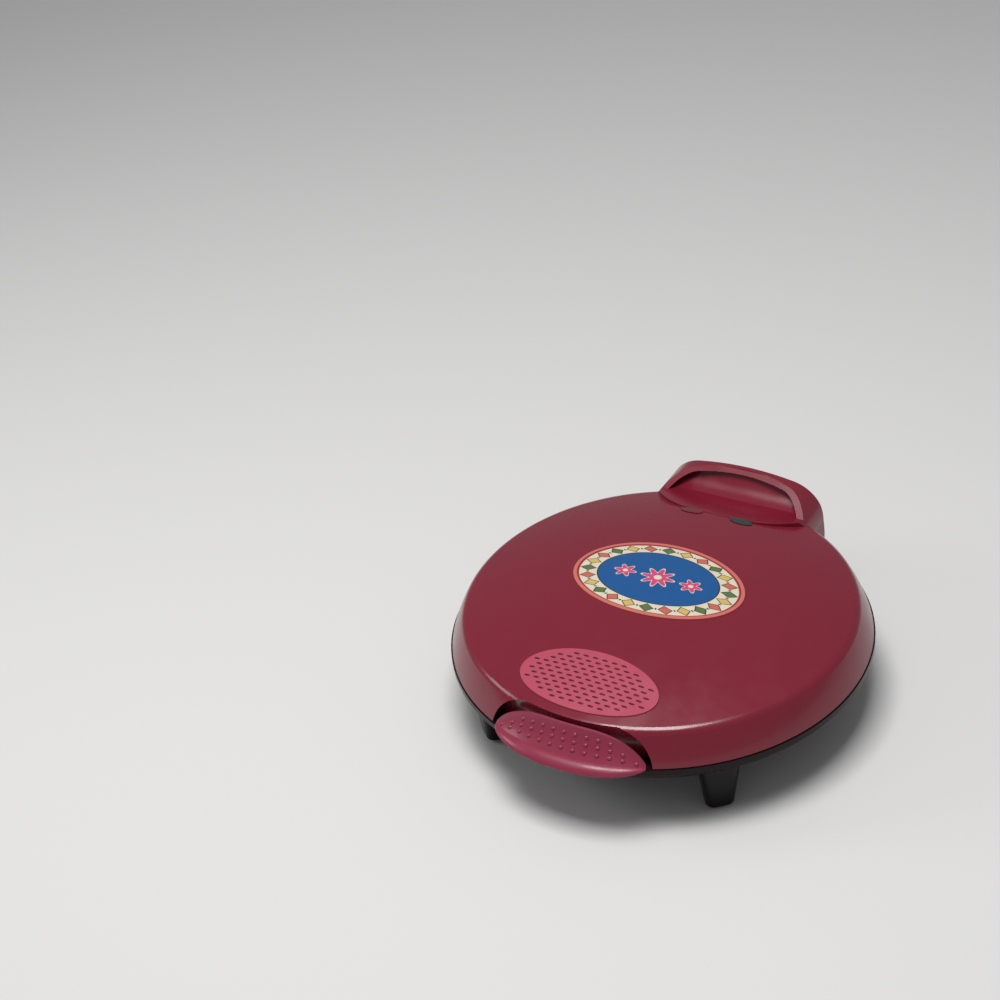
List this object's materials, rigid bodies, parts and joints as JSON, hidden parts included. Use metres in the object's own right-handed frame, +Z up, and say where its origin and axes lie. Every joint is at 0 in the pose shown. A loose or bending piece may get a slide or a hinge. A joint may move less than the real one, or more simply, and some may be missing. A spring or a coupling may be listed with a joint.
{
  "type": "quesadilla maker",
  "caption": "Round countertop quesadilla maker: hinged domed lid with a sprung latch handle and signal lights, divided non-stick plates with heating elements, bowl-shaped base on short legs.",
  "frame": {"origin": "on the table under the middle of the closed maker's outline", "axes": "+Z up, -Y towards the latch handle, +Y towards the hinge, +X to the right when facing the handle"},
  "size_m": [0.3024, 0.3145, 0.0983],
  "materials": {
    "lid_red": "glossy deep crimson",
    "handle_red": "moulded satin crimson with raised grip pips",
    "pad_red": "soft matte crimson",
    "badge_rim": "satin copper pink",
    "badge_print": "printed cream band with a plain geometric border and a blue middle",
    "lens_red": "clear red",
    "lens_green": "clear dark green",
    "lamp_glass": "clear",
    "base_red": "glossy dark crimson",
    "leg_black": "black",
    "foot_rubber": "black",
    "nonstick": "dark grey non-stick coating on cast aluminium",
    "element_steel": "heat-dulled steel sheath",
    "bright_steel": "zinc-plated",
    "shield_sheet": "plain sheet",
    "inner_plastic": "natural heat-resistant moulding",
    "gland_black": "black",
    "wire_sleeve": "glass-fibre sleeving"
  },
  "bodies": {
    "base": {"base_shell": "base_red", "legs": "leg_black", "rubber_feet": "foot_rubber", "leg_screws": "bright_steel", "hinge_tube_left": "bright_steel", "hinge_tube_right": "bright_steel", "lower_cooking_plate": "nonstick", "lower_heating_element": "element_steel", "lower_element_clamps": "bright_steel", "lower_heat_shield": "shield_sheet", "lower_clamp_screws": "bright_steel", "lower_shield_screws": "bright_steel", "lower_plate_screws": "bright_steel", "latch_catch": "bright_steel", "catch_screws": "bright_steel", "thermal_fuse": "inner_plastic", "terminal_block": "inner_plastic", "cord_gland": "gland_black", "base_wiring": "wire_sleeve"},
    "lid": {"lid_shell": "lid_red", "badge_ring": "badge_rim", "badge_plate": "badge_print", "thumb_pad": "pad_red", "power_light_lens": "lens_red", "ready_light_lens": "lens_green", "power_lamp": "lamp_glass", "ready_lamp": "lamp_glass", "lamp_holder": "inner_plastic", "holder_screws": "bright_steel", "upper_cooking_plate": "nonstick", "upper_heating_element": "element_steel", "upper_element_clamps": "bright_steel", "upper_heat_shield": "shield_sheet", "upper_clamp_screws": "bright_steel", "upper_shield_screws": "bright_steel", "upper_plate_screws": "bright_steel", "thermostat": "inner_plastic", "lid_wiring": "wire_sleeve", "latch_pin": "bright_steel", "latch_spring": "bright_steel"},
    "latch": {"latch_handle": "handle_red", "latch_hook": "bright_steel", "hook_screws": "bright_steel"}
  },
  "joints": [
    {"name": "lid_hinge", "type": "hinge", "parent": "base", "child": "lid", "pos_m": [0, 0.15075, 0.053], "axis": [-1, 0, 0], "range_deg": [0, 105]},
    {"name": "latch_pivot", "type": "hinge", "parent": "lid", "child": "latch", "pos_m": [0, -0.13795, 0.06], "axis": [-1, 0, 0], "range_deg": [0, 8], "stiffness_Nm_per_rad": 0.8, "springref_deg": -5.73}
  ]
}
